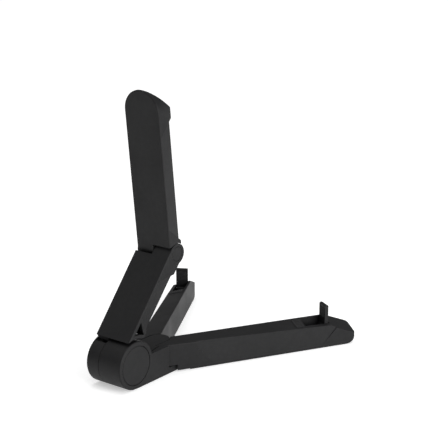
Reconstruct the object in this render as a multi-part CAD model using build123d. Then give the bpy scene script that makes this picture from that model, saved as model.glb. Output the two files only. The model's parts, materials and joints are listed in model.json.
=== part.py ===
"""Folding tablet stand: a barrel hub, a two-piece back arm and two swinging front legs.

Frame: millimetres, origin on the ground below the barrel's axis, +X to the right,
+Y from the barrel towards the leg tips, +Z up. The stand is modelled opened for use.
Arms are drawn lying flat along +Y and legs folded along +Y, then turned to their places.
"""

from build123d import *
import os
from math import cos, radians, sin, sqrt

# Hub: the barrel, its base plate and the fork that holds the legs
barrel_radius = 18.0
hub_half_width = 16.0
barrel_rim_round = 0.9
barrel_wall = 2.2
seam_inset = 11.6
seam_gap = 0.4
right_web_thickness = 2.5
left_web_thickness = 2.1
eyelet_room = 5.9
cap_rim_width = 3.55
cap_thickness = 1.5
cap_dome = 0.35
cap_groove = 0.35
cap_seat_width = 1.05
head_room_step = 0.35
recess_clearance = 0.15
base_bottom = 0.4
base_top = 5.0
base_front = 52.0
base_corner_radius = 8.0
base_edge_round = 0.6
deck_front = 36.0
deck_edge_round = 0.7
deck_groove_width = 0.8
deck_groove_depth = 0.9
deck_groove_side_margin = 2.4
deck_groove_end_x = 10.1
deck_groove_end_y = 33.0
tongue_half_width = 8.3
tongue_thickness = 3.4
folded_gap = 0.8

# Running gaps between parts that turn past each other, and how far a cut runs past a face
swing_gap = 0.3
knuckle_gap = 0.4
layer_gap = 0.05
shaft_clearance = 0.05
past = 1.0
tolerance = 0.01
far = 300.0

# Barrel hardware
bolt_radius = 2.5
bolt_head_radius = 4.6
bolt_head_thickness = 1.7
bush_wall = 1.0
eyelet_left_gap = 0.4
eyelet_right_gap = 0.55
washer_step = 1.0
main_nut_across = 8.0
main_nut_thickness = 4.0
bolt_end_length = 1.2
spring_washer_thickness = 0.8
cover_screw_angles = (165.0, 245.0, 325.0)
pillar_radius = 1.8

# Lower arm, measured with the arm flat and the barrel's axis at zero
arm_side_step = 0.25
arm_wall = 1.8
arm_edge_round = 0.8
lower_arm_angle = 50.0
lower_arm_folded_angle = 1.5
lower_arm_reach = 85.4
lower_arm_hub_thickness = 12.9
lower_arm_hinge_thickness = 14.3
arm_end_gap = 2.5
arm_end_wall = 1.5
lower_end_block = 11.4
neck_start_angle = 25.0
neck_end_angle = 61.0
neck_inset = 1.2
neck_back_inset = 0.8
slot_side_gap = 0.4
slot_end_margin = 2.0
tilt_back_travel = 8.0
window_hub_gap = 0.6
window_length = 11.0
window_top_margin = 1.0
bulkhead_gap = 1.5

# Upper arm, measured with the arm flat and the middle hinge at zero
upper_arm_angle = 96.0
upper_arm_length = 123.0
upper_arm_thickness = 13.0
tip_cut_length = 13.6
tip_cut_wall = 3.0
tip_edge_thickness = 1.2
upper_cavity_start = 13.0
hinge_depth = 7.7
ear_radius = 7.7
largest_bend = 80.0
inner_cover_thickness = 1.6
inner_cover_gap = 0.1
recess_depth = 2.2
recess_margin = 0.9
upper_recess_start = 9.0
upper_recess_tip_length = 21.5
lower_recess_hub_length = 2.5
lower_recess_hinge_length = 13.4
post_side_inset = 7.2
post_end_margin = 8.0
tip_pad_length = 16.0
tip_pad_side_margin = 1.5
tip_pad_end_gap = 18.0
arm_pad_thickness = 1.6
arm_pad_depth = 0.4

# Middle hinge hardware
hinge_bolt_radius = 2.0
hinge_head_radius = 4.2
hinge_head_thickness = 1.8
hinge_cap_radius = 5.4
hinge_cap_thickness = 1.0
hinge_nut_across = 6.6
hinge_nut_thickness = 2.2
hinge_washer_thickness = 0.5
hinge_spring_thickness = 0.6

# Legs, measured folded along +Y with the shared upright pin at zero
leg_pin_y = 43.5
leg_angle = 29.0
leg_length = 158.0
leg_inner_x = 0.2
leg_tip_outer_height = 16.2
leg_wall = 1.8
leg_edge_round = 0.8
leg_root_bottom = 1.0
leg_relief_gap = 2.2
leg_root_step_gap = 0.7
knuckle_radius = 8.5
leg_washer_thickness = 0.4
leg_washer_radius = 7.0
leg_pin_radius = 3.0
leg_pin_head_radius = 5.5
leg_pin_head_thickness = 1.3
leg_pin_roof = 0.9
tip_outer_radius = 3.0
tip_inner_radius = 3.0
tip_under_radius = 8.0
nose_length = 22.0
nose_end_height = 8.4
leg_cavity_gap = 2.5
pocket_back_wall = 4.6
tip_cavity_overlap = 2.0
tip_cavity_roof = 3.4
bottom_cover_tip_gap = 11.0
bottom_cover_thickness = 2.0
leg_recess_root_gap = 5.1
leg_recess_tip_length = 15.0
leg_recess_depth = 1.3
leg_screw_root_margin = 10.6
leg_screw_tip_margin = 7.0
root_round_start = 2.0

# Flip-up lips near the leg tips
lip_tip_distance = 24.0
lip_pin_drop = 1.0
lip_pin_radius = 1.2
lip_pin_inner_wall = 0.4
lip_pin_outer_wall = 2.2
lip_inner_margin = 2.2
lip_outer_margin = 4.0
lip_side_gap = 0.3
lip_height = 18.0
lip_thickness = 3.0
lip_barrel_radius = 2.4
lip_top_round = 1.2
lip_grip_thickness = 0.8
lip_grip_depth = 0.3
lip_grip_side_margin = 1.0
lip_grip_start = 8.1

# Soft pads and fasteners
foot_pad_thickness = 1.2
pad_corner_radius = 2.5
hub_pad_side_margin = 4.0
hub_pad_back = -2.5
hub_pad_front_margin = 2.5
leg_pad_length = 19.0
leg_pad_tip_distance = 15.0
leg_pad_side_margin = 3.2
rest_pad_length = 6.8
rest_pad_pocket_gap = 1.3
rest_pad_side_margin = 2.6
rest_pad_corner_radius = 1.3
rest_pad_depth = 0.5
rest_pad_height = 0.4
screw_radius = 0.9
screw_head_radius = 1.7
screw_head_thickness = 1.1
screw_slot_reach = 1.1
screw_slot_half_width = 0.25
screw_slot_depth = 0.65
screw_length = 7.0
screw_seat_thickness = 0.8
boss_radius = 2.3

# Hub places that follow from the sizes above
axis_height = barrel_radius
seam_x = seam_inset - hub_half_width
left_web_right_x = seam_x - eyelet_room
left_web_left_x = left_web_right_x - left_web_thickness
right_web_right_x = seam_x + seam_gap / 2 + right_web_thickness
eyelet_left_x = left_web_right_x + eyelet_left_gap
eyelet_right_x = seam_x - eyelet_right_gap
cap_radius = barrel_radius - cap_rim_width
pivot_cavity_radius = cap_radius - cap_seat_width
head_room_radius = cap_radius - head_room_step
cover_screw_circle = head_room_radius - screw_head_radius - 2 * layer_gap
eyelet_radius = cover_screw_circle - pillar_radius - knuckle_gap
deck_height = 2 * barrel_radius - lower_arm_hub_thickness - folded_gap
tongue_bottom = deck_height - tongue_thickness

# Arm places that follow
arm_half_width = hub_half_width - arm_side_step
neck_left_x = neck_inset - arm_half_width
arm_end_radius = barrel_radius + arm_end_gap
arm_front = barrel_radius - lower_arm_hub_thickness
arm_deep_front = barrel_radius - lower_arm_hinge_thickness
hinge_flat_z = barrel_radius - hinge_depth
upper_front = hinge_depth - upper_arm_thickness
lower_cavity_end = lower_arm_reach - lower_end_block
lower_recess_start = arm_end_radius + lower_recess_hub_length
lower_recess_end = lower_arm_reach - lower_recess_hinge_length
upper_recess_end = upper_arm_length - upper_recess_tip_length
window_radius = arm_end_radius + arm_end_wall + window_hub_gap
window_top = barrel_radius - arm_wall - window_top_margin
window_start = sqrt(window_radius**2 - window_top**2)
bulkhead_start = window_start + window_length + bulkhead_gap
bulkhead_end = bulkhead_start + arm_wall
tip_pad_end = upper_arm_length - tip_pad_end_gap
tip_pad_start = tip_pad_end - tip_pad_length
lower_post_places = (bulkhead_end + 2 * boss_radius, lower_cavity_end - post_end_margin)
upper_post_places = (upper_cavity_start + post_end_margin, tip_pad_start - post_end_margin)

# Leg places that follow
leg_outer_x = hub_half_width
leg_relief_radius = leg_outer_x + leg_relief_gap
leg_root_step = leg_relief_radius + leg_root_step_gap
knuckle_room = tongue_bottom - base_top - 3 * leg_washer_thickness - 4 * layer_gap
knuckle_thickness = knuckle_room / 2
right_knuckle_bottom = base_top + leg_washer_thickness + layer_gap
left_knuckle_bottom = right_knuckle_bottom + knuckle_thickness + leg_washer_thickness + 2 * layer_gap
lip_pin_y = leg_length - lip_tip_distance
lip_pin_z = leg_tip_outer_height - lip_pin_drop
lip_left_x = leg_inner_x + lip_inner_margin
lip_right_x = leg_outer_x - lip_outer_margin
pocket_floor = lip_pin_z - lip_barrel_radius - knuckle_gap
pocket_back = lip_pin_y - lip_height - knuckle_gap
nose_start = leg_length - nose_length
leg_cavity_start = leg_root_step + leg_cavity_gap
leg_cavity_end = pocket_back - pocket_back_wall
tip_cavity_end = lip_pin_y + tip_cavity_overlap
tip_cavity_top = pocket_floor - tip_cavity_roof
bottom_cover_end = leg_length - bottom_cover_tip_gap
leg_recess_start = leg_root_step + leg_recess_root_gap
leg_recess_end = leg_length - leg_recess_tip_length
first_leg_screw = leg_cavity_start + leg_screw_root_margin
last_leg_screw = leg_cavity_end - leg_screw_tip_margin
leg_screw_places = (first_leg_screw, (first_leg_screw + last_leg_screw) / 2, last_leg_screw)
leg_pad_end = leg_length - leg_pad_tip_distance
leg_pad_start = leg_pad_end - leg_pad_length
rest_pad_end = pocket_back - rest_pad_pocket_gap
rest_pad_start = rest_pad_end - rest_pad_length


def span_box(x0, x1, y0, y1, z0, z1):
    """A box given by its six limits."""
    return Pos((x0 + x1) / 2, (y0 + y1) / 2, (z0 + z1) / 2) * Box(x1 - x0, y1 - y0, z1 - z0)


def rod_x(y, z, radius, x0, x1):
    """A cylinder along X."""
    return Pos((x0 + x1) / 2, y, z) * Rot(0, 90, 0) * Cylinder(radius, x1 - x0)


def rod_z(x, y, radius, z0, z1):
    """A cylinder along Z."""
    return Pos(x, y, (z0 + z1) / 2) * Cylinder(radius, z1 - z0)


def side_prism(points, x0, x1):
    """A prism along X whose outline is a list of (y, z) points."""
    face = Plane.YZ.offset(x0) * make_face(Polyline(*points, close=True))
    return extrude(face, amount=x1 - x0, dir=(1, 0, 0))


def edges_at(edges, axis, place):
    """The edges whose middles lie at one place along an axis."""
    return edges.filter_by_position(axis, place - tolerance, place + tolerance)


def hexagon_x(y, z, across, x0, x1):
    """A hexagonal prism along X, across its flats."""
    face = Plane.YZ.offset(x0) * Pos(y, z, 0) * RegularPolygon(across / 2, 6, major_radius=False)
    return extrude(face, amount=x1 - x0, dir=(1, 0, 0))


def ring_x(y, z, outer, inner, x0, x1):
    """A ring along X."""
    return rod_x(y, z, outer, x0, x1) - rod_x(y, z, inner, x0 - past, x1 + past)


def sector(start, end, x0, x1):
    """A pie slice about the X axis between two angles above +Y, in degrees."""
    middle = (start + end) / 2
    rim = [(far * cos(radians(angle)), far * sin(radians(angle))) for angle in (start, middle, end)]
    return side_prism([(0, 0)] + rim, x0, x1)


def rounded_plate(x0, x1, y0, y1, z0, z1, radius):
    """A flat plate with four round corners."""
    face = Pos((x0 + x1) / 2, (y0 + y1) / 2, z0) * RectangleRounded(x1 - x0, y1 - y0, radius)
    return extrude(face, amount=z1 - z0, dir=(0, 0, 1))


def stadium(half_width, y0, end, z0, z1):
    """A flat slab with a straight start and a half-round end."""
    slab = span_box(-half_width, half_width, y0, end - half_width, z0, z1)
    return slab + rod_z(0, end - half_width, half_width, z0, z1)


def screw(length):
    """A pan-head screw along +Z from its head's face, with a cross slot in the head."""
    head = rod_z(0, 0, screw_head_radius, 0, screw_head_thickness)
    reach, half = screw_slot_reach, screw_slot_half_width
    for half_x, half_y in ((reach, half), (half, reach)):
        head -= span_box(-half_x, half_x, -half_y, half_y, -past, screw_slot_depth)
    return head + rod_z(0, 0, screw_radius, screw_head_thickness, screw_head_thickness + length)


# ---------------------------------------------------------------- hub


def hub_barrel(x0, x1, round_x):
    """A solid barrel piece, with its outer end edge rounded."""
    barrel = rod_x(0, axis_height, barrel_radius, x0, x1)
    rim = edges_at(barrel.edges(), Axis.X, round_x)
    return fillet(rim.filter_by(GeomType.CIRCLE), barrel_rim_round)


def cap_recess(side):
    """The round recess in a barrel end that takes a pivot cap."""
    outer = side * (hub_half_width + past)
    inner = side * (hub_half_width - cap_thickness)
    return rod_x(0, axis_height, cap_radius + cap_groove, min(outer, inner), max(outer, inner))


def screw_centres(radius):
    """Where the cover screws stand round the barrel's axis."""
    for angle in cover_screw_angles:
        yield radius * cos(radians(angle)), axis_height + radius * sin(radians(angle))


def deck_and_base():
    """The base plate, the block behind the legs and the tongue over their pin."""
    half = hub_half_width
    base = span_box(-half, half, 0, base_front, base_bottom, base_top)
    base = fillet(edges_at(base.edges().filter_by(Axis.Z), Axis.Y, base_front), base_corner_radius)
    front_edges = edges_at(base.edges(), Axis.Z, base_top)
    base = fillet(front_edges.filter_by_position(Axis.Y, past, base_front), base_edge_round)
    block = span_box(-half, half, 0, deck_front, base_bottom, deck_height)
    block = fillet(edges_at(block.edges().filter_by(Axis.Y), Axis.Z, deck_height), deck_edge_round)
    block -= rod_z(0, leg_pin_y, hub_half_width + swing_gap, base_top, deck_height + past)
    for side in (-1, 1):
        block -= deck_groove(side)
    tongue_half = tongue_half_width
    tongue = stadium(tongue_half, 0, leg_pin_y + tongue_half, tongue_bottom, deck_height)
    tongue_edges = edges_at(tongue.edges(), Axis.Z, deck_height)
    tongue = fillet(tongue_edges.filter_by_position(Axis.Y, past, far), deck_edge_round)
    return base + block + tongue


def deck_groove(side):
    """The fine parting groove along the deck's top, from the barrel towards the tongue."""
    start = Vector(side * (hub_half_width - deck_groove_side_margin), barrel_radius, deck_height)
    end = Vector(side * deck_groove_end_x, deck_groove_end_y, deck_height)
    run = end - start
    turn = Vector(0, 1, 0).get_signed_angle(run, Vector(0, 0, 1))
    cutter = Box(deck_groove_width, run.length + past, 2 * deck_groove_depth)
    return Pos(*((start + end) / 2)) * Rot(0, 0, turn) * cutter


def foot_recess(pad):
    """A shallow recess in the base for a foot pad's outline."""
    return pad + Pos(0, 0, -base_bottom) * pad


def make_hub_foot_pad():
    """The silicone pad under the hub."""
    half = hub_half_width - hub_pad_side_margin
    front = base_front - hub_pad_front_margin
    return rounded_plate(-half, half, hub_pad_back, front, 0, foot_pad_thickness, pad_corner_radius)


def make_leg_pin():
    """The upright pin that both legs swing on."""
    head_top = foot_pad_thickness + leg_pin_head_thickness
    head = rod_z(0, leg_pin_y, leg_pin_head_radius, foot_pad_thickness, head_top)
    return head + rod_z(0, leg_pin_y, leg_pin_radius, head_top, deck_height - leg_pin_roof)


def make_hub_body():
    """The right barrel half with the base plate, the leg fork and three screw pillars."""
    left = seam_x + seam_gap / 2
    body = deck_and_base()
    body -= rod_x(0, axis_height, barrel_radius + swing_gap, -far, left)
    body += hub_barrel(left, hub_half_width, hub_half_width)
    body -= rod_x(0, axis_height, pivot_cavity_radius, right_web_right_x, hub_half_width)
    body -= cap_recess(1)
    for y, z in screw_centres(cover_screw_circle):
        body += rod_x(y, z, pillar_radius, left_web_right_x, left + past)
        body -= rod_x(y, z, screw_radius, left_web_right_x - past, right_web_right_x + past)
    body -= rod_x(0, axis_height, bolt_radius, left - past, right_web_right_x + past)
    body -= span_box(-far, far, -far, far, -far, base_bottom)
    body -= foot_recess(make_hub_foot_pad())
    return body - make_leg_pin()


def make_hub_side_cover():
    """The left barrel half, slotted for the arm's neck."""
    right = seam_x - seam_gap / 2
    cover = hub_barrel(-hub_half_width, right, -hub_half_width)
    cover -= rod_x(0, axis_height, barrel_radius - barrel_wall, left_web_right_x, right + past)
    cover -= cap_recess(-1)
    cover -= rod_x(0, axis_height, head_room_radius, -hub_half_width, left_web_left_x)
    cover -= rod_x(0, axis_height, bolt_radius, left_web_left_x - past, left_web_right_x + past)
    for y, z in screw_centres(cover_screw_circle):
        cover -= rod_x(y, z, screw_radius, left_web_left_x - past, left_web_right_x + past)
    slot_start = neck_start_angle + lower_arm_folded_angle - slot_end_margin
    slot_end = neck_end_angle + lower_arm_angle + tilt_back_travel + slot_end_margin
    slot = Pos(0, 0, axis_height) * sector(slot_start, slot_end, neck_left_x - slot_side_gap, right + past)
    slot -= rod_x(0, axis_height, barrel_radius - barrel_wall, -far, far)
    cover -= slot
    cover -= span_box(-far, far, -far, far, -far, base_bottom)
    return cover - foot_recess(make_hub_foot_pad())


def make_pivot_cap(side):
    """A domed cap that closes one end of the barrel."""
    cap = rod_x(0, axis_height, cap_radius, hub_half_width - cap_thickness, hub_half_width)
    rim = cap.edges().filter_by(GeomType.CIRCLE).sort_by(Axis.X)[-1]
    cap = fillet(rim, cap_dome)
    return cap if side > 0 else mirror(cap, about=Plane.YZ)


def make_main_bolt():
    """The low-head bolt along the barrel's axis."""
    head = rod_x(0, axis_height, bolt_head_radius, left_web_left_x - bolt_head_thickness, left_web_left_x)
    end = right_web_right_x + spring_washer_thickness + main_nut_thickness + bolt_end_length
    return head + rod_x(0, axis_height, bolt_radius, left_web_left_x, end)


def make_main_nut():
    """The hexagonal nut that sets the barrel's friction."""
    start = right_web_right_x + spring_washer_thickness
    nut = hexagon_x(0, axis_height, main_nut_across, start, start + main_nut_thickness)
    return nut - rod_x(0, axis_height, bolt_radius, start - past, start + main_nut_thickness + past)


def make_main_spring_washer():
    """The spring washer under the nut."""
    end = right_web_right_x + spring_washer_thickness
    return ring_x(0, axis_height, main_nut_across / 2, bolt_radius, right_web_right_x, end)


def make_friction_washers():
    """The two friction washers, one on each face of the arm's eyelet."""
    radius = eyelet_radius - washer_step
    left_end = eyelet_left_x - layer_gap
    left = ring_x(0, axis_height, radius, bolt_radius, left_web_right_x, left_end)
    right_end = seam_x + seam_gap / 2
    right = ring_x(0, axis_height, radius, bolt_radius, eyelet_right_x + layer_gap, right_end)
    return [left, right]


def make_cover_screws():
    """The screws that hold the side cover to the hub body."""
    head_left = left_web_left_x - screw_head_thickness
    one = Rot(0, 90, 0) * screw(right_web_right_x - left_web_left_x)
    return [Pos(head_left, y, z) * one for y, z in screw_centres(cover_screw_circle)]


def make_leg_washers():
    """The thin washers below, between and above the two leg knuckles."""
    bottoms = (
        base_top,
        right_knuckle_bottom + knuckle_thickness + layer_gap,
        left_knuckle_bottom + knuckle_thickness + layer_gap,
    )
    washers = []
    for bottom in bottoms:
        top = bottom + leg_washer_thickness
        ring = rod_z(0, leg_pin_y, leg_washer_radius, bottom, top)
        washers.append(ring - rod_z(0, leg_pin_y, leg_pin_radius, bottom - past, top + past))
    return washers


# ---------------------------------------------------------------- arms


def arm_bar(y0, y1, front, back):
    """A straight arm bar with its two long back edges rounded."""
    bar = span_box(-arm_half_width, arm_half_width, y0, y1, front, back)
    return fillet(edges_at(bar.edges().filter_by(Axis.Y), Axis.Z, back), arm_edge_round)


def arm_side_recess(y0, y1, front, back, side):
    """The shallow slanted recess along one side of an arm, with 45 degree ends."""
    top = back - recess_margin
    depth = top - front
    outside = arm_half_width + past
    points = ((arm_half_width, top), (arm_half_width - recess_depth, front - past))
    outline = make_face(Polyline(*points, (outside, front - past), (outside, top), close=True))
    wedge = extrude(Plane.XZ.offset(-y0) * outline, amount=y1 - y0, dir=(0, 1, 0))
    low = front - tolerance
    trapezoid = ((y0, low), (y1, low), (y1 - depth, top), (y0 + depth, top))
    wedge &= side_prism(trapezoid, 0, outside + past)
    return wedge if side > 0 else mirror(wedge, about=Plane.YZ)


def channel_half_width(z, front, back):
    """Half the width of an arm's hollow at a height, narrower towards the front."""
    share = (back - arm_wall - z) / (back - arm_wall - front)
    return arm_half_width - arm_wall - recess_depth * share


def arm_channel(y0, y1, front, back):
    """The hollow inside an arm, whose sides slant as the side recesses do."""
    top = back - arm_wall
    bottom = front - past
    wide = channel_half_width(top, front, back)
    narrow = channel_half_width(bottom, front, back)
    corners = ((-wide, top), (wide, top), (narrow, bottom), (-narrow, bottom))
    outline = make_face(Polyline(*corners, close=True))
    return extrude(Plane.XZ.offset(-y0) * outline, amount=y1 - y0, dir=(0, 1, 0))


def hinge_swing_space(direction, x0, x1):
    """The space that the other arm needs at the middle hinge, hinge at zero."""
    reach = ear_radius + knuckle_gap
    bend = radians(largest_bend)
    tangent = (direction * -reach * sin(bend), reach * cos(bend))
    corner_z = hinge_depth + past
    corner = (direction * -(reach - corner_z * cos(bend)) / sin(bend), corner_z)
    outer_top, outer_bottom = (direction * far, corner_z), (direction * far, 0)
    wedge = side_prism((tangent, corner, outer_top, outer_bottom, (0, 0)), x0, x1)
    below = side_prism(((0, 0), (direction * far, 0), (direction * far, -far), (0, -far)), x0, x1)
    return wedge + below + rod_x(0, 0, reach, x0, x1)


def post_centres(places):
    """Where an arm's cover screws stand, in pairs along the arm."""
    side = arm_half_width - post_side_inset
    return [(x, place) for place in places for x in (-side, side)]


def arm_posts(places, front, back):
    """The bosses inside an arm that its cover screws bite into."""
    posts = None
    for x, y in post_centres(places):
        bottom = front + inner_cover_thickness
        post = rod_z(x, y, boss_radius, bottom, back - arm_wall / 2)
        post -= rod_z(x, y, screw_radius, bottom - past, bottom + screw_length)
        posts = post if posts is None else posts + post
    return posts


def arm_screws(places, front):
    """The screws through an arm's inner cover, heads sunk in the cover."""
    return [Pos(x, y, front) * screw(screw_length) for x, y in post_centres(places)]


def arm_cover(plate, places, front):
    """An inner cover plate with its screw holes and head recesses."""
    for x, y in post_centres(places):
        plate -= rod_z(x, y, screw_radius, front - past, front + inner_cover_thickness + past)
        plate -= rod_z(x, y, screw_head_radius, front - past, front + screw_head_thickness)
    return plate


def place_lower_arm(piece):
    """Turns a flat lower-arm piece to its open place."""
    return Pos(0, 0, axis_height) * Rot(lower_arm_angle, 0, 0) * piece


def hinge_point():
    """The middle hinge's (y, z) with the stand open."""
    turn = radians(lower_arm_angle)
    y = lower_arm_reach * cos(turn) - hinge_flat_z * sin(turn)
    z = lower_arm_reach * sin(turn) + hinge_flat_z * cos(turn)
    return y, axis_height + z


def place_upper_arm(piece):
    """Turns a flat upper-arm piece to its open place."""
    y, z = hinge_point()
    return Pos(0, y, z) * Rot(upper_arm_angle, 0, 0) * piece


def arm_neck():
    """The neck and eyelet that carry the lower arm inside the barrel."""
    slice_wide = sector(neck_start_angle, neck_end_angle, neck_left_x, eyelet_right_x)
    outside = rod_x(0, 0, arm_end_radius + arm_end_wall / 2, -far, far)
    in_wall = rod_x(0, 0, barrel_radius - barrel_wall + knuckle_gap, -far, far)
    wide = slice_wide & (outside - in_wall)
    wide &= span_box(-far, far, 0, far, 0, barrel_radius - neck_back_inset)
    narrow_slice = sector(neck_start_angle, neck_end_angle, eyelet_left_x, eyelet_right_x)
    narrow = narrow_slice & rod_x(0, 0, barrel_radius, -far, far)
    eyelet = rod_x(0, 0, eyelet_radius, eyelet_left_x, eyelet_right_x)
    bore = rod_x(0, 0, bolt_radius + shaft_clearance + bush_wall, -far, far)
    return wide + narrow + eyelet - bore


def side_window():
    """The three-cornered window in the side walls beside the arm's end."""
    bottom = arm_front + arm_end_wall
    bottom_start = sqrt(window_radius**2 - bottom**2)
    outline = ((window_start, window_top), (bottom_start, bottom), (window_start + window_length, window_top))
    window = side_prism(outline, -far, far) - rod_x(0, 0, window_radius, -far, far)
    inside = arm_half_width - arm_wall - recess_depth
    return window - span_box(-inside, inside, 0, far, 0, far)


def bulkhead():
    """The cross wall that closes the lower arm's hollow behind the window."""
    return span_box(-far, far, bulkhead_start, bulkhead_end, arm_front + inner_cover_thickness, far)


def lower_cover_limits():
    """Where the lower arm's inner cover starts and ends."""
    start = sqrt((arm_end_radius + arm_end_wall) ** 2 - arm_front**2)
    return start, lower_cavity_end


def make_lower_arm_shell():
    """The lower arm: a channel with its neck, its right ear and its end wall."""
    half = arm_half_width
    shell = arm_bar(0, lower_arm_reach, arm_deep_front, barrel_radius)
    taper = ((0, arm_deep_front - past), (lower_arm_reach, arm_deep_front - past))
    taper += ((lower_arm_reach, arm_deep_front), (arm_end_radius, arm_front), (0, arm_front))
    shell -= side_prism(taper, -far, far)
    shell += rod_x(lower_arm_reach, hinge_flat_z, ear_radius, 0, half)
    shell -= rod_x(0, 0, arm_end_radius, -far, far)
    hinge = Pos(0, lower_arm_reach, hinge_flat_z)
    shell -= hinge * hinge_swing_space(1, -far, hinge_washer_thickness / 2)
    cavity = arm_channel(0, lower_cavity_end, arm_deep_front, barrel_radius)
    shell -= cavity - rod_x(0, 0, arm_end_radius + arm_end_wall, -far, far) - bulkhead()
    shell -= side_window()
    for side in (-1, 1):
        shell -= arm_side_recess(lower_recess_start, lower_recess_end, arm_deep_front, barrel_radius, side)
    shell += arm_posts(lower_post_places, arm_front, barrel_radius)
    shell += arm_neck()
    shell -= hinge * hinge_bolt_space(hinge_bolt_radius)
    return shell


def make_lower_arm_cover():
    """The plate that closes the lower arm's channel."""
    start, end = lower_cover_limits()
    half = channel_half_width(arm_front, arm_deep_front, barrel_radius) - inner_cover_gap
    top = arm_front + inner_cover_thickness
    plate = span_box(-half, half, start + inner_cover_gap, end - inner_cover_gap, arm_front, top)
    return arm_cover(plate, lower_post_places, arm_front)


def hinge_bolt_space(radius):
    """The bolt hole, head recess and cap recess on the right side of the hinge."""
    half = arm_half_width
    head_floor = half - hinge_cap_thickness - hinge_head_thickness
    space = rod_x(0, 0, radius, 0, half)
    space += rod_x(0, 0, hinge_head_radius + recess_clearance, head_floor, half)
    return space + rod_x(0, 0, hinge_cap_radius + recess_clearance, half - hinge_cap_thickness, half + past)


def hinge_nut_space():
    """The bolt hole, nut pocket and cap recess on the left side of the hinge."""
    half = arm_half_width
    pocket_radius = hinge_nut_across / sqrt(3) + swing_gap
    floor = -half + hinge_cap_thickness + hinge_nut_thickness + hinge_spring_thickness + swing_gap
    space = rod_x(0, 0, hinge_bolt_radius + shaft_clearance, -half, 0)
    space += rod_x(0, 0, pocket_radius, -half, floor)
    return space + rod_x(0, 0, hinge_cap_radius + recess_clearance, -half - past, -half + hinge_cap_thickness)


def make_hinge_bolt():
    """The middle hinge's bolt."""
    half = arm_half_width
    head_right = half - hinge_cap_thickness
    head = rod_x(0, 0, hinge_head_radius, head_right - hinge_head_thickness, head_right)
    end = -half + hinge_cap_thickness + swing_gap
    return head + rod_x(0, 0, hinge_bolt_radius, end, head_right - hinge_head_thickness)


def make_hinge_nut():
    """The middle hinge's nut."""
    left = -arm_half_width + hinge_cap_thickness + swing_gap
    nut = hexagon_x(0, 0, hinge_nut_across, left, left + hinge_nut_thickness)
    return nut - rod_x(0, 0, hinge_bolt_radius, left - past, left + hinge_nut_thickness + past)


def make_hinge_spring_washer():
    """The spring washer between the hinge nut and the upper arm."""
    left = -arm_half_width + hinge_cap_thickness + swing_gap + hinge_nut_thickness
    end = left + hinge_spring_thickness - layer_gap
    return ring_x(0, 0, hinge_nut_across / 2, hinge_bolt_radius, left, end)


def make_hinge_washer():
    """The friction washer between the two arms' knuckles."""
    half = hinge_washer_thickness / 2
    return ring_x(0, 0, ear_radius - washer_step, hinge_bolt_radius, -half + layer_gap, half)


def make_hinge_cap(side):
    """A small cap over one end of the middle hinge."""
    cap = rod_x(0, 0, hinge_cap_radius, arm_half_width - hinge_cap_thickness, arm_half_width)
    rim = cap.edges().filter_by(GeomType.CIRCLE).sort_by(Axis.X)[-1]
    cap = fillet(rim, cap_dome)
    return cap if side > 0 else mirror(cap, about=Plane.YZ)


def tip_cut(setback):
    """The space in front of the upper arm's slanted tip, moved towards the hinge by a setback."""
    start = upper_arm_length - setback
    top = hinge_depth - tip_edge_thickness
    bottom = top - 2 * (upper_arm_thickness - tip_edge_thickness)
    points = ((start, top), (start - 2 * tip_cut_length, bottom), (far, bottom), (far, top))
    return side_prism(points, -far, far)


def make_upper_cavity():
    """The hollow inside the upper arm."""
    tip = upper_arm_length - arm_wall
    hollow = stadium(arm_half_width - arm_wall, upper_cavity_start, tip, upper_front - past, hinge_depth)
    hollow &= arm_channel(0, far, upper_front, hinge_depth)
    return hollow - tip_cut(tip_cut_wall)


def make_upper_arm_shell():
    """The upper arm: a channel with a half-round tip and its left knuckle."""
    half = arm_half_width
    shell = stadium(half, 0, upper_arm_length, upper_front, hinge_depth)
    back_edges = edges_at(shell.edges(), Axis.Z, hinge_depth)
    shell = fillet(back_edges.filter_by_position(Axis.Y, past, upper_arm_length), arm_edge_round)
    shell -= tip_cut(0)
    shell += rod_x(0, 0, ear_radius, -half, 0)
    shell -= hinge_swing_space(-1, -hinge_washer_thickness / 2, far)
    shell -= make_upper_cavity()
    for side in (-1, 1):
        shell -= arm_side_recess(upper_recess_start, upper_recess_end, upper_front, hinge_depth, side)
    shell += arm_posts(upper_post_places, upper_front, hinge_depth)
    return shell - hinge_nut_space()


def make_tip_pad():
    """The silicone pad that the tablet's back leans on."""
    half = channel_half_width(upper_front, upper_front, hinge_depth) - tip_pad_side_margin
    top = upper_front + arm_pad_depth
    bottom = top - arm_pad_thickness
    return rounded_plate(-half, half, tip_pad_start, tip_pad_end, bottom, top, pad_corner_radius)


def make_upper_arm_cover():
    """The plate that closes the upper arm's channel and carries its tip pad."""
    half = channel_half_width(upper_front, upper_front, hinge_depth) - inner_cover_gap
    end = upper_arm_length - tip_cut_length - tip_cut_wall - inner_cover_gap
    top = upper_front + inner_cover_thickness
    plate = span_box(-half, half, upper_cavity_start + inner_cover_gap, end, upper_front, top)
    return arm_cover(plate, upper_post_places, upper_front) - make_tip_pad()


# ---------------------------------------------------------------- legs


def leg_top(x, y):
    """The height of a leg's top: level along its inner edge, falling along its outer edge."""
    share = (x - leg_inner_x) / (leg_outer_x - leg_inner_x) * y / leg_length
    return deck_height - share * (deck_height - leg_tip_outer_height)


def leg_slab(x0, x1, y0, y1, below, above):
    """A slab that follows a leg's top, from a depth below it to a height above it."""
    faces = []
    for y in (y0, y1):
        corners = [(x0, leg_top(x0, y) - below), (x1, leg_top(x1, y) - below)]
        corners += [(x1, leg_top(x1, y) + above), (x0, leg_top(x0, y) + above)]
        faces.append(Plane.XZ.offset(-y) * make_face(Polyline(*corners, close=True)))
    return loft(faces, ruled=True)


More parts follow.
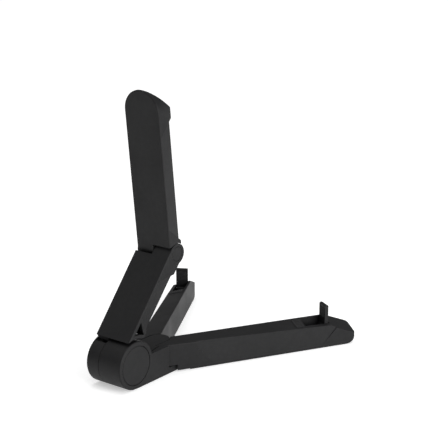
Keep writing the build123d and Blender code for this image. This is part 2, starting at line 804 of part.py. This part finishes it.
def leg_blank():
    """A leg's outline from above and from the side, under its slanted top."""
    outer = leg_outer_x
    block = span_box(leg_inner_x, outer, 0, leg_length, base_bottom, deck_height + past)
    end_edges = edges_at(block.edges(), Axis.Y, leg_length)
    profile = fillet(edges_at(end_edges.filter_by(Axis.X), Axis.Z, base_bottom), tip_under_radius)
    plan = fillet(end_edges.filter_by(Axis.Z).sort_by(Axis.X)[-1], tip_outer_radius)
    inner_edges = edges_at(plan.edges().filter_by(Axis.Z), Axis.X, leg_inner_x)
    plan = fillet(inner_edges.sort_by(Axis.Y)[-1], tip_inner_radius)
    return profile & plan & leg_slab(leg_inner_x - past, outer + past, 0, leg_length + past, far, 0)


def leg_root_disc():
    """The half-round root behind a leg's pin."""
    root = rod_z(0, 0, leg_outer_x, base_bottom, deck_height)
    return root & span_box(leg_inner_x, leg_outer_x, -leg_outer_x, 0, base_bottom, deck_height)


def nose_cut():
    """What is cut off above the sloping nose of a leg."""
    inner = Vector(leg_inner_x, nose_start, leg_top(leg_inner_x, nose_start))
    outer = Vector(leg_outer_x, nose_start, leg_top(leg_outer_x, nose_start))
    tip = Vector(leg_outer_x, leg_length, nose_end_height)
    across = (outer - inner).normalized()
    plane = Plane(origin=inner, x_dir=across, z_dir=across.cross(tip - outer).normalized())
    return plane * Pos(0, 0, far / 2) * Box(far, far, far)


def leg_side_recess():
    """The shallow slanted recess along a leg's outer side, with 45 degree ends."""
    bottom = base_bottom + bottom_cover_thickness
    top = deck_height + past
    outside = leg_outer_x + past
    points = ((leg_outer_x, bottom), (outside, bottom), (outside, top), (leg_outer_x - leg_recess_depth, top))
    outline = make_face(Polyline(*points, close=True))
    length = leg_recess_end - leg_recess_start
    wedge = extrude(Plane.XZ.offset(-leg_recess_start) * outline, amount=length, dir=(0, 1, 0))
    rise = leg_top(leg_outer_x, leg_recess_end) - bottom
    end_bottom = leg_recess_end - rise
    end_top = leg_recess_end + top - bottom - rise
    start_bottom = leg_recess_start + rise
    start_top = leg_recess_start - (top - bottom - rise)
    trapezoid = ((start_bottom, bottom), (end_bottom, bottom), (end_top, top), (start_top, top))
    return wedge & side_prism(trapezoid, 0, outside + past)


def lip_pocket():
    """The pocket in a leg's top that the lip folds into."""
    x0 = lip_left_x - lip_side_gap
    x1 = lip_right_x + lip_side_gap
    front = lip_pin_y + lip_barrel_radius + knuckle_gap
    return span_box(x0, x1, pocket_back, front, pocket_floor, deck_height + past)


def leg_cover_limits():
    """The limits of a leg's bottom cover opening."""
    return leg_inner_x + leg_wall, leg_outer_x - leg_wall, leg_cavity_start, bottom_cover_end


def leg_cavity():
    """The hollow inside a leg and the opening for its bottom cover."""
    x0, x1, y0, y1 = leg_cover_limits()
    cover_top = base_bottom + bottom_cover_thickness
    main = leg_slab(x0, x1, y0, leg_cavity_end, deck_height, -leg_wall)
    main &= span_box(x0, x1 - leg_recess_depth, y0, leg_cavity_end, cover_top - past, deck_height)
    tip = span_box(x0, x1, leg_cavity_end - past, tip_cavity_end, cover_top - past, tip_cavity_top)
    opening = span_box(x0, x1, y0, y1, 0, cover_top)
    return main + tip + opening


def leg_root(knuckle_bottom):
    """A leg's knuckle about the shared pin."""
    knuckle_top = knuckle_bottom + knuckle_thickness
    return rod_z(0, 0, knuckle_radius, knuckle_bottom, knuckle_top)


def pin_clearance(knuckle_bottom):
    """The space about the pin that a leg leaves for the other leg and the tongue."""
    reach = knuckle_radius + knuckle_gap
    knuckle_top = knuckle_bottom + knuckle_thickness
    below = rod_z(0, 0, reach, 0, knuckle_bottom)
    return below + rod_z(0, 0, reach, knuckle_top, deck_height + past)


def tongue_side_clearance():
    """The strip behind the pin that a leg leaves free when it stands open."""
    half = tongue_half_width + knuckle_gap
    strip = span_box(-half, half, -far / 2, 0, 0, deck_height + past)
    return Rot(0, 0, leg_angle) * strip


def leg_bosses():
    """The screw bosses inside a leg."""
    middle = (leg_inner_x + leg_outer_x) / 2
    bottom = base_bottom + bottom_cover_thickness
    bosses = None
    for y in leg_screw_places:
        top = leg_top(middle, y) - leg_wall / 2
        boss = rod_z(middle, y, boss_radius, bottom, top)
        boss -= rod_z(middle, y, screw_radius, bottom - past, bottom + screw_length)
        bosses = boss if bosses is None else bosses + boss
    return bosses


def make_rest_pad():
    """The silicone pad on a leg's top that the tablet's edge stands on."""
    x0 = leg_inner_x + rest_pad_side_margin
    x1 = leg_outer_x - rest_pad_side_margin
    pad = leg_slab(x0, x1, rest_pad_start, rest_pad_end, rest_pad_depth, rest_pad_height)
    outline = rounded_plate(x0, x1, rest_pad_start, rest_pad_end, 0, far, rest_pad_corner_radius)
    return pad & outline


def leg_rim(shell):
    """The edges round a leg's top and nose, apart from the root and the bend between the two."""
    chosen = ShapeList()
    for face in shell.faces():
        if face.normal_at().Z < tolerance:
            continue
        for edge in face.edges():
            middle = edge.center()
            if middle.Y > root_round_start and abs(middle.Y - nose_start) > past:
                chosen.append(edge)
    return chosen


def make_leg_shell(knuckle_bottom):
    """A leg's shell, folded along +Y, with its knuckle at the given height."""
    shell = leg_blank() - nose_cut()
    shell = fillet(leg_rim(shell), leg_edge_round)
    shell += leg_root_disc()
    shell -= tongue_side_clearance()
    shell -= rod_z(0, 0, leg_relief_radius, 0, base_top + leg_washer_thickness + layer_gap)
    shell -= span_box(-far, far, -far, leg_root_step, 0, leg_root_bottom)
    shell -= pin_clearance(knuckle_bottom)
    shell += leg_root(knuckle_bottom)
    shell -= leg_side_recess()
    shell -= leg_cavity()
    shell += leg_bosses()
    shell -= lip_pocket()
    shell -= make_lip_pin()
    shell -= make_rest_pad()
    return shell - rod_z(0, 0, leg_pin_radius + shaft_clearance, 0, far)


def make_leg_foot_pad():
    """The silicone foot under a leg's tip."""
    x0 = leg_inner_x + leg_pad_side_margin
    x1 = leg_outer_x - leg_pad_side_margin
    return rounded_plate(x0, x1, leg_pad_start, leg_pad_end, 0, foot_pad_thickness, pad_corner_radius)


def make_leg_cover():
    """The plate that closes a leg from below."""
    x0, x1, y0, y1 = leg_cover_limits()
    gap = inner_cover_gap
    top = base_bottom + bottom_cover_thickness
    plate = span_box(x0 + gap, x1 - gap, y0 + gap, y1 - gap, base_bottom, top)
    plate -= foot_recess(make_leg_foot_pad())
    middle = (leg_inner_x + leg_outer_x) / 2
    for y in leg_screw_places:
        plate -= rod_z(middle, y, screw_radius, 0, top + past)
        plate -= rod_z(middle, y, screw_head_radius, 0, top + layer_gap - screw_seat_thickness)
    return plate


def make_leg_screws():
    """The three screws that hold a leg's bottom cover."""
    middle = (leg_inner_x + leg_outer_x) / 2
    head_top = base_bottom + bottom_cover_thickness + layer_gap - screw_seat_thickness
    head_bottom = head_top - screw_head_thickness
    return [Pos(middle, y, head_bottom) * screw(screw_length) for y in leg_screw_places]


def make_lip():
    """A flip-up lip, standing, with the pocket for its grip pad."""
    back = lip_pin_y - lip_thickness / 2
    front = lip_pin_y + lip_thickness / 2
    top = lip_pin_z + lip_height
    blade = span_box(lip_left_x, lip_right_x, back, front, lip_pin_z, top)
    blade = fillet(edges_at(blade.edges().filter_by(Axis.X), Axis.Z, top), lip_top_round)
    lip = blade + rod_x(lip_pin_y, lip_pin_z, lip_barrel_radius, lip_left_x, lip_right_x)
    lip -= rod_x(lip_pin_y, lip_pin_z, lip_pin_radius + shaft_clearance, 0, leg_outer_x)
    return lip - make_lip_grip()


def make_lip_grip():
    """The thin silicone pad on the lip's tablet side."""
    back = lip_pin_y - lip_thickness / 2
    bottom = lip_pin_z + lip_grip_start
    top = lip_pin_z + lip_height - 2 * lip_top_round
    x0 = lip_left_x + lip_grip_side_margin
    x1 = lip_right_x - lip_grip_side_margin
    return span_box(x0, x1, back + lip_grip_depth - lip_grip_thickness, back + lip_grip_depth, bottom, top)


def make_lip_pin():
    """The steel pin that a lip turns on."""
    start = leg_inner_x + lip_pin_inner_wall
    end = leg_outer_x - lip_pin_outer_wall
    return rod_x(lip_pin_y, lip_pin_z, lip_pin_radius, start, end)


def place_leg(piece, side):
    """Turns a folded right-hand leg piece to its open place, or to the left leg's."""
    if side < 0:
        piece = mirror(piece, about=Plane.YZ)
    return Pos(0, leg_pin_y, 0) * Rot(0, 0, -side * leg_angle) * piece


# ---------------------------------------------------------------- assembly


def hub_nodes():
    """The pieces of the hub."""
    return {
        "hub_body": make_hub_body(),
        "hub_side_cover": make_hub_side_cover(),
        "right_pivot_cap": make_pivot_cap(1),
        "left_pivot_cap": make_pivot_cap(-1),
        "main_pivot_bolt": make_main_bolt(),
        "main_pivot_nut": make_main_nut(),
        "main_spring_washer": make_main_spring_washer(),
        "main_friction_washers": make_friction_washers(),
        "hub_cover_screws": make_cover_screws(),
        "hub_foot_pad": make_hub_foot_pad(),
        "leg_pivot_pin": make_leg_pin(),
        "leg_thrust_washers": make_leg_washers(),
    }


def lower_arm_nodes():
    """The pieces that turn with the lower arm."""
    hinge = Pos(0, lower_arm_reach, hinge_flat_z)
    bush_radius = bolt_radius + shaft_clearance
    bush = ring_x(0, 0, bush_radius + bush_wall, bush_radius, eyelet_left_x, eyelet_right_x)
    flat = {
        "lower_arm_shell": make_lower_arm_shell(),
        "lower_arm_inner_cover": make_lower_arm_cover(),
        "lower_arm_cover_screws": arm_screws(lower_post_places, arm_front),
        "main_pivot_bush": bush,
        "mid_hinge_bolt": hinge * make_hinge_bolt(),
        "mid_hinge_nut": hinge * make_hinge_nut(),
        "mid_spring_washer": hinge * make_hinge_spring_washer(),
        "mid_friction_washer": hinge * make_hinge_washer(),
        "right_hinge_cap": hinge * make_hinge_cap(1),
    }
    return placed(flat, place_lower_arm)


def upper_arm_nodes():
    """The pieces that turn with the upper arm."""
    flat = {
        "upper_arm_shell": make_upper_arm_shell(),
        "upper_arm_inner_cover": make_upper_arm_cover(),
        "upper_arm_cover_screws": arm_screws(upper_post_places, upper_front),
        "upper_arm_tip_pad": make_tip_pad(),
        "left_hinge_cap": make_hinge_cap(-1),
    }
    return placed(flat, place_upper_arm)


def leg_nodes(name, side, knuckle_bottom):
    """The pieces of one leg and its lip."""
    folded = {
        f"{name}_leg_shell": make_leg_shell(knuckle_bottom),
        f"{name}_leg_bottom_cover": make_leg_cover(),
        f"{name}_leg_cover_screws": make_leg_screws(),
        f"{name}_leg_foot_pad": make_leg_foot_pad(),
        f"{name}_rest_pad": make_rest_pad(),
        f"{name}_lip_pin": make_lip_pin(),
        f"{name}_flip_lip": make_lip(),
        f"{name}_lip_grip": make_lip_grip(),
    }
    return placed(folded, lambda piece: place_leg(piece, side))


def placed(nodes, place):
    """The same nodes, each solid moved by a placing function."""
    moved = {}
    for name, piece in nodes.items():
        if isinstance(piece, list):
            moved[name] = [place(solid) for solid in piece]
        else:
            moved[name] = place(piece)
    return moved


def write_node(name, piece):
    """Writes one node as a STEP file."""
    shape = Compound(children=piece) if isinstance(piece, list) else piece
    export_step(shape, f"parts/{name}.step")


os.makedirs("parts", exist_ok=True)
nodes = hub_nodes() | lower_arm_nodes() | upper_arm_nodes()
nodes |= leg_nodes("right", 1, right_knuckle_bottom)
nodes |= leg_nodes("left", -1, left_knuckle_bottom)
for node_name, node_piece in nodes.items():
    write_node(node_name, node_piece)
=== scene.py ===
"""The tablet stand's looks: materials, ribbed silicone pads, studio and camera, round the CAD frame."""

import json
import math

import bpy
from mathutils import Euler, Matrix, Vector


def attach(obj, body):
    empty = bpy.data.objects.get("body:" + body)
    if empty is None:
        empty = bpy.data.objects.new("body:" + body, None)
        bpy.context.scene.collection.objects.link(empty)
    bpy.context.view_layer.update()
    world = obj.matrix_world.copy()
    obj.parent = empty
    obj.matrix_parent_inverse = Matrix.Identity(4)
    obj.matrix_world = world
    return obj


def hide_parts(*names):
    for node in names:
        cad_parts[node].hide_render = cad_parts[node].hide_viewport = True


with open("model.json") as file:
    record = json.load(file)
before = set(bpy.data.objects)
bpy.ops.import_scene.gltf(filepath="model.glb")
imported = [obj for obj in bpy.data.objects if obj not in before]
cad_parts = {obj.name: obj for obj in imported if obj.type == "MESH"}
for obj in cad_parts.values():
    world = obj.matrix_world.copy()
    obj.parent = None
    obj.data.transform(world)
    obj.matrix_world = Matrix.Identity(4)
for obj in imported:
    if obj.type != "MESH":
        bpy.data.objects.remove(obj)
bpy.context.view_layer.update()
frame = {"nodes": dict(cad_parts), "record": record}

MM = 0.001

# ---------------------------------------------------------------- shader helpers


def new_material(name):
    """An empty node material with a Principled shader, its tree and its shader node."""
    material = bpy.data.materials.new(name)
    material.use_nodes = True
    tree = material.node_tree
    shader = tree.nodes["Principled BSDF"]
    return material, tree, shader


def node(tree, kind, **settings):
    """Adds a shader node and sets its properties and its inputs by name."""
    added = tree.nodes.new(kind)
    for key, value in settings.items():
        if key in added.inputs:
            added.inputs[key].default_value = value
        else:
            setattr(added, key, value)
    return added


def object_space(tree):
    """Coordinates that stick to the piece, in metres."""
    return node(tree, "ShaderNodeTexCoord").outputs["Object"]


def noise(tree, vector, size_mm, detail=4.0, roughness=0.55):
    """Noise whose lumps are about size_mm across."""
    texture = node(tree, "ShaderNodeTexNoise")
    texture.inputs["Scale"].default_value = 1.0 / (size_mm * MM)
    texture.inputs["Detail"].default_value = detail
    texture.inputs["Roughness"].default_value = roughness
    tree.links.new(vector, texture.inputs["Vector"])
    return texture.outputs["Fac"]


def remap(tree, value, low, high, from_low=0.0, from_high=1.0):
    """Maps a value from one range to another, clamped."""
    mapped = node(tree, "ShaderNodeMapRange")
    mapped.inputs["From Min"].default_value = from_low
    mapped.inputs["From Max"].default_value = from_high
    mapped.inputs["To Min"].default_value = low
    mapped.inputs["To Max"].default_value = high
    tree.links.new(value, mapped.inputs["Value"])
    return mapped.outputs["Result"]


def math_node(tree, operation, first, second):
    """One arithmetic step on two values, each a socket or a number."""
    step = node(tree, "ShaderNodeMath", operation=operation)
    for socket, value in zip(step.inputs, (first, second)):
        if hasattr(value, "is_output"):
            tree.links.new(value, socket)
        else:
            socket.default_value = value
    return step.outputs[0]


def mix_colours(tree, factor, first, second):
    """A colour between two colours, each a socket or a tuple."""
    mix = node(tree, "ShaderNodeMix", data_type="RGBA")
    tree.links.new(factor, mix.inputs["Factor"])
    for socket, value in ((mix.inputs[6], first), (mix.inputs[7], second)):
        if hasattr(value, "is_output"):
            tree.links.new(value, socket)
        else:
            socket.default_value = (*value, 1.0)
    return mix.outputs[2]


def bumped(tree, height, depth_mm, strength=1.0, after=None):
    """A normal bent by a height, chained after an earlier one."""
    bump = node(tree, "ShaderNodeBump")
    bump.inputs["Strength"].default_value = strength
    bump.inputs["Distance"].default_value = depth_mm * MM
    tree.links.new(height, bump.inputs["Height"])
    if after is not None:
        tree.links.new(after, bump.inputs["Normal"])
    return bump.outputs["Normal"]


def soft_edges(tree, radius_mm):
    """A normal that rounds every sharp edge a little."""
    bevel = node(tree, "ShaderNodeBevel", samples=6)
    bevel.inputs["Radius"].default_value = radius_mm * MM
    return bevel.outputs["Normal"]


def edge_mask(tree, radius_mm):
    """1 on sharp edges and 0 on open faces."""
    bevel = node(tree, "ShaderNodeBevel", samples=6)
    bevel.inputs["Radius"].default_value = radius_mm * MM
    geometry = node(tree, "ShaderNodeNewGeometry")
    dot = node(tree, "ShaderNodeVectorMath", operation="DOT_PRODUCT")
    tree.links.new(bevel.outputs["Normal"], dot.inputs[0])
    tree.links.new(geometry.outputs["Normal"], dot.inputs[1])
    return remap(tree, dot.outputs["Value"], 1.0, 0.0, 0.80, 0.99)


# ---------------------------------------------------------------- materials


def moulded_plastic(name, dark, light, roughness, grain_mm=0.28, grain_depth_mm=0.012):
    """Black moulded plastic: spark-eroded grain, faint flow marks, handled patches and rubbed edges."""
    material, tree, shader = new_material(name)
    place = object_space(tree)
    flow = noise(tree, place, 26.0, detail=3.0)
    mottle = noise(tree, place, 3.0, detail=5.0)
    blend = math_node(tree, "MULTIPLY", flow, mottle)
    colour = mix_colours(tree, remap(tree, blend, 0.0, 1.0, 0.12, 0.42), dark, light)
    rubbed = math_node(tree, "MULTIPLY", edge_mask(tree, 0.5), remap(tree, mottle, 0.15, 0.9, 0.35, 0.65))
    worn = tuple(min(1.0, channel * 1.7) for channel in light)
    colour = mix_colours(tree, math_node(tree, "MULTIPLY", rubbed, 0.55), colour, worn)
    tree.links.new(colour, shader.inputs["Base Color"])
    handled = noise(tree, place, 38.0, detail=2.0)
    base_roughness = remap(tree, handled, roughness - 0.05, roughness + 0.05, 0.35, 0.65)
    polished = math_node(tree, "MULTIPLY", rubbed, -0.10)
    tree.links.new(math_node(tree, "ADD", base_roughness, polished), shader.inputs["Roughness"])
    grain = noise(tree, place, grain_mm, detail=2.0, roughness=0.6)
    normal = bumped(tree, grain, grain_depth_mm, 0.55, after=soft_edges(tree, 0.22))
    normal = bumped(tree, flow, 0.05, 0.15, after=normal)
    tree.links.new(normal, shader.inputs["Normal"])
    shader.inputs["Specular IOR Level"].default_value = 0.17
    return material


def silicone(name, colour):
    """Matte silicone rubber with a fine skin, slight sheen and patchy dust."""
    material, tree, shader = new_material(name)
    place = object_space(tree)
    dusty = noise(tree, place, 2.2, detail=6.0, roughness=0.7)
    pale = tuple(channel * 1.5 + 0.002 for channel in colour)
    mixed = mix_colours(tree, remap(tree, dusty, 0.0, 1.0, 0.42, 0.70), colour, pale)
    tree.links.new(mixed, shader.inputs["Base Color"])
    tree.links.new(remap(tree, dusty, 0.68, 0.86, 0.3, 0.7), shader.inputs["Roughness"])
    skin = noise(tree, place, 0.16, detail=2.0)
    tree.links.new(bumped(tree, skin, 0.008, 0.5), shader.inputs["Normal"])
    shader.inputs["Specular IOR Level"].default_value = 0.2
    shader.inputs["Sheen Weight"].default_value = 0.04
    shader.inputs["Sheen Roughness"].default_value = 0.6
    return material


def machined_metal(name, colour, roughness, tint):
    """Plated or turned metal: fine turning lines and blotchy plating."""
    material, tree, shader = new_material(name)
    place = object_space(tree)
    blotch = noise(tree, place, 1.6, detail=5.0)
    plated = mix_colours(tree, remap(tree, blotch, 0.0, 1.0, 0.3, 0.7), colour, tint)
    tree.links.new(plated, shader.inputs["Base Color"])
    stretched = node(tree, "ShaderNodeMapping")
    stretched.inputs["Scale"].default_value = (1.0, 0.08, 1.0)
    tree.links.new(place, stretched.inputs["Vector"])
    lines = noise(tree, stretched.outputs["Vector"], 0.12, detail=3.0)
    tree.links.new(remap(tree, lines, roughness - 0.08, roughness + 0.12, 0.3, 0.7), shader.inputs["Roughness"])
    tree.links.new(bumped(tree, lines, 0.006, 0.4), shader.inputs["Normal"])
    shader.inputs["Metallic"].default_value = 1.0
    return material


def nylon(name):
    """Black nylon washer stock: waxy and slightly uneven."""
    material, tree, shader = new_material(name)
    place = object_space(tree)
    cloud = noise(tree, place, 1.2, detail=4.0)
    share = remap(tree, cloud, 0.0, 1.0, 0.3, 0.7)
    mixed = mix_colours(tree, share, (0.012, 0.012, 0.012), (0.020, 0.020, 0.021))
    tree.links.new(mixed, shader.inputs["Base Color"])
    tree.links.new(remap(tree, cloud, 0.38, 0.52, 0.3, 0.7), shader.inputs["Roughness"])
    tree.links.new(bumped(tree, cloud, 0.01, 0.3), shader.inputs["Normal"])
    shader.inputs["Specular IOR Level"].default_value = 0.3
    return material


PLASTIC_DARK = (0.0062, 0.0062, 0.0066)
PLASTIC_LIGHT = (0.0100, 0.0100, 0.0105)
SILICONE_BLACK = (0.006, 0.006, 0.0065)

MATERIALS = {
    "black_abs": moulded_plastic("black_abs_satin", PLASTIC_DARK, PLASTIC_LIGHT, 0.50),
    "black_silicone": silicone("black_silicone_matte", SILICONE_BLACK),
    "zinc_steel": machined_metal("zinc_plated_steel", (0.60, 0.60, 0.58), 0.34, (0.50, 0.50, 0.46)),
    "blackened_steel": machined_metal("blackened_steel", (0.030, 0.030, 0.032), 0.42, (0.045, 0.044, 0.042)),
    "brass": machined_metal("turned_brass", (0.74, 0.55, 0.24), 0.30, (0.62, 0.44, 0.18)),
    "nylon": nylon("black_nylon"),
}


def dress_cad_nodes():
    """Gives each CAD node the finish of its slot in the record."""
    for entry in frame["record"]["subparts"]:
        piece = frame["nodes"][entry["node"]]
        material = MATERIALS[entry["material_slot"]]
        piece.data.materials.clear()
        piece.data.materials.append(material)


# ---------------------------------------------------------------- silicone pads


FACING_LIMIT = 0.8
TURN_STEPS = 180
EDGE_STEPS = 4
PAD_STEP = 0.30 * MM
PAD_RIM = 1.1 * MM
RIM_FLANK = 0.5 * MM
PAD_EDGE = 0.28 * MM


def extent(points, axis):
    """The lowest and highest reach of some points along an axis."""
    reaches = [point.dot(axis) for point in points]
    return min(reaches), max(reaches)


def pad_frame(cad_name, facing):
    """A pad's own axes and limits, read from its CAD node: across, along and outward."""
    mesh = frame["nodes"][cad_name].data
    outward = Vector()
    for face in mesh.polygons:
        if face.normal.dot(Vector(facing)) > FACING_LIMIT:
            outward += face.normal * face.area
    outward.normalize()
    points = [vertex.co.copy() for vertex in mesh.vertices]
    first = outward.orthogonal().normalized()
    second = outward.cross(first)
    best = None
    for step in range(TURN_STEPS):
        turn = math.pi * step / TURN_STEPS
        across = first * math.cos(turn) + second * math.sin(turn)
        low, high = extent(points, across)
        if best is None or high - low < best[0]:
            best = (high - low, across)
    across = best[1]
    along = outward.cross(across)
    axes = (across, along, outward)
    return axes, [extent(points, axis) for axis in axes]


def groove(position, pitch):
    """0 on a rib and 1 in the groove beside it, with soft flanks."""
    wave = math.cos(2.0 * math.pi * position / pitch)
    return min(1.0, max(0.0, (wave - 0.25) / 0.4))


def inside_rim(distance):
    """0 on a pad's plain rim and 1 well inside it."""
    return min(1.0, max(0.0, (distance - PAD_RIM) / RIM_FLANK))


def pad_height(u, v, half_width, half_length, thickness, pitch, depth, studs):
    """A pad's height at a place: full on its ribs or studs, lower in its grooves."""
    cut = groove(v, pitch)
    if studs:
        cut = max(cut, groove(u, pitch))
    cut *= inside_rim(half_width - abs(u)) * inside_rim(half_length - abs(v))
    return thickness - depth * cut


def edge_drop(distance):
    """How far a pad's rounded top edge has dropped at a distance from its side."""
    if distance >= PAD_EDGE:
        return 0.0
    lean = (PAD_EDGE - distance) / PAD_EDGE
    return PAD_EDGE * (1.0 - math.sqrt(1.0 - lean * lean))


def steps_between(low, high, step):
    """Evenly spaced places from low to high, about a step apart."""
    count = max(2, int(round((high - low) / step)))
    return [low + (high - low) * index / count for index in range(count + 1)]


def pad_lanes(half):
    """Places from one side of a pad to the other, closer together over its rounded edges."""
    edge = [PAD_EDGE * (1.0 - math.cos(0.5 * math.pi * index / EDGE_STEPS)) for index in range(EDGE_STEPS)]
    inner = steps_between(PAD_EDGE - half, half - PAD_EDGE, PAD_STEP)
    return [drop - half for drop in edge] + inner + [half - drop for drop in reversed(edge)]


def corner_inset(distance, radius):
    """How far a pad's side draws in at a distance from its end, for its round corners."""
    if distance >= radius:
        return 0.0
    return radius - math.sqrt(radius * radius - (radius - distance) ** 2)


def add_pad(name, cad_name, body, facing, pitch_mm, depth_mm, corner_mm, studs=False):
    """A silicone pad with ribs or studs, in the place of its plain CAD solid."""
    axes, limits = pad_frame(cad_name, facing)
    middles = [(low + high) / 2 for low, high in limits[:2]]
    half_width, half_length = [(high - low) / 2 for low, high in limits[:2]]
    base, thickness = limits[2][0], limits[2][1] - limits[2][0]
    lanes, rows = pad_lanes(half_width), pad_lanes(half_length)
    corner = corner_mm * MM
    points, faces = [], []
    for v in rows:
        end_distance = half_length - abs(v)
        share = 1.0 - corner_inset(end_distance, corner) / half_width
        for lane in lanes:
            u = lane * share
            height = pad_height(u, v, half_width, half_length, thickness, pitch_mm * MM, depth_mm * MM, studs)
            side_distance = half_width * share - abs(u)
            height -= max(edge_drop(end_distance), edge_drop(side_distance))
            points.append((u, v, height))
        points.append((half_width * share, v, 0.0))
        points.append((-half_width * share, v, 0.0))
    ring = len(lanes) + 2
    for row in range(len(rows) - 1):
        for index in range(ring):
            after = (index + 1) % ring
            near, far = row * ring, (row + 1) * ring
            faces.append((near + index, near + after, far + after, far + index))
    faces.append(tuple(reversed(range(ring))))
    faces.append(tuple((len(rows) - 1) * ring + index for index in range(ring)))
    placed = []
    for u, v, height in points:
        placed.append(axes[0] * (middles[0] + u) + axes[1] * (middles[1] + v) + axes[2] * (base + height))
    mesh = bpy.data.meshes.new(name)
    mesh.from_pydata(placed, [], faces)
    mesh.validate()
    mesh.update()
    for polygon in mesh.polygons:
        polygon.use_smooth = True
    mesh.set_sharp_from_angle(angle=math.radians(38.0))
    mesh.materials.append(MATERIALS["black_silicone"])
    pad = bpy.data.objects.new(name, mesh)
    bpy.context.collection.objects.link(pad)
    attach(pad, body)
    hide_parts(cad_name)


def add_pads():
    """Every silicone pad of the stand."""
    add_pad("hub_foot_tread", "hub_foot_pad", "hub", (0, 0, -1), 3.0, 0.45, 2.5, studs=True)
    add_pad("arm_tip_grip", "upper_arm_tip_pad", "upper_arm", (0, 1, 0), 2.0, 0.45, 2.5)
    for side in ("right", "left"):
        leg, lip = side + "_leg", side + "_lip"
        add_pad(leg + "_foot_tread", leg + "_foot_pad", leg, (0, 0, -1), 2.4, 0.45, 2.5, studs=True)
        add_pad(side + "_rest_grip", side + "_rest_pad", leg, (0, 0, 1), 2.0, 0.30, 1.3)
        add_pad(lip + "_grip_ribs", side + "_lip_grip", lip, (0, -1, 0), 1.3, 0.22, 0.5)


# ---------------------------------------------------------------- studio


FLOOR_WHITE = (0.86, 0.86, 0.86, 1.0)
FLOOR_GLOW = 0.42
FLOOR_SIZE = 200.0
SURROUND_STRENGTH = 0.30
TOP_LIGHT_STRENGTH = 1.2
TOP_LIGHT_ANGLE = 60.0
STAND_MIDDLE = (0.0, 0.07, 0.09)
KEY_PLACE = (1.5, 0.0, 0.40)
KEY_SIZE = 1.0
KEY_POWER = 26.0
FILL_PLACE = (-0.95, -0.70, 1.15)
FILL_SIZE = 1.2
FILL_POWER = 3.0


def add_floor():
    """A plain pale floor that runs out of sight and glows faintly, so that its shadows stay light."""
    bpy.ops.mesh.primitive_plane_add(size=FLOOR_SIZE, location=(0, 0, 0))
    floor = bpy.context.object
    floor.name = "studio_floor"
    material, tree, shader = new_material("studio_paper")
    shader.inputs["Base Color"].default_value = FLOOR_WHITE
    shader.inputs["Roughness"].default_value = 0.9
    shader.inputs["Specular IOR Level"].default_value = 0.1
    shader.inputs["Emission Color"].default_value = (1.0, 1.0, 1.0, 1.0)
    shader.inputs["Emission Strength"].default_value = FLOOR_GLOW
    floor.data.materials.append(material)


def aim(thing, target):
    """Turns a lamp so that it looks at a point."""
    direction = Vector(target) - thing.location
    thing.rotation_euler = direction.to_track_quat("-Z", "Y").to_euler()


def add_softbox(name, place, target, size, power):
    """A square area light that no camera sees."""
    data = bpy.data.lights.new(name, "AREA")
    data.shape = "SQUARE"
    data.size = size
    data.energy = power
    lamp = bpy.data.objects.new(name, data)
    lamp.location = place
    lamp.visible_camera = False
    bpy.context.collection.objects.link(lamp)
    aim(lamp, target)


def add_top_light():
    """A broad even light from overhead that keeps the whole floor pale."""
    data = bpy.data.lights.new("top_light", "SUN")
    data.energy = TOP_LIGHT_STRENGTH
    data.angle = math.radians(TOP_LIGHT_ANGLE)
    lamp = bpy.data.objects.new("top_light", data)
    bpy.context.collection.objects.link(lamp)


def light_studio():
    """Soft light: an overhead light, a low key from the right, a fill from behind and a dim surround."""
    add_top_light()
    add_softbox("key_right", KEY_PLACE, STAND_MIDDLE, KEY_SIZE, KEY_POWER)
    add_softbox("fill_behind", FILL_PLACE, STAND_MIDDLE, FILL_SIZE, FILL_POWER)
    world = bpy.data.worlds.new("studio_surround")
    world.use_nodes = True
    background = world.node_tree.nodes["Background"]
    background.inputs["Color"].default_value = (1.0, 1.0, 1.0, 1.0)
    background.inputs["Strength"].default_value = SURROUND_STRENGTH
    bpy.context.scene.world = world
    bpy.context.scene.view_settings.view_transform = "Standard"


CAMERA_PLACE = (0.6154, -0.6710, 0.3850)
CAMERA_AZIMUTH = 37.79
CAMERA_ELEVATION = 16.24
CAMERA_LENS = 108.5


def add_camera():
    """A long lens, level, from behind and to the right of the stand."""
    data = bpy.data.cameras.new("studio_camera")
    data.lens = CAMERA_LENS
    data.sensor_width = 36.0
    data.clip_start = 0.01
    data.clip_end = 300.0
    camera = bpy.data.objects.new("studio_camera", data)
    camera.location = CAMERA_PLACE
    camera.rotation_euler = Euler((math.radians(90.0 - CAMERA_ELEVATION), 0.0, math.radians(CAMERA_AZIMUTH)))
    bpy.context.collection.objects.link(camera)
    bpy.context.scene.camera = camera


dress_cad_nodes()
add_pads()
add_floor()
light_studio()
add_camera()
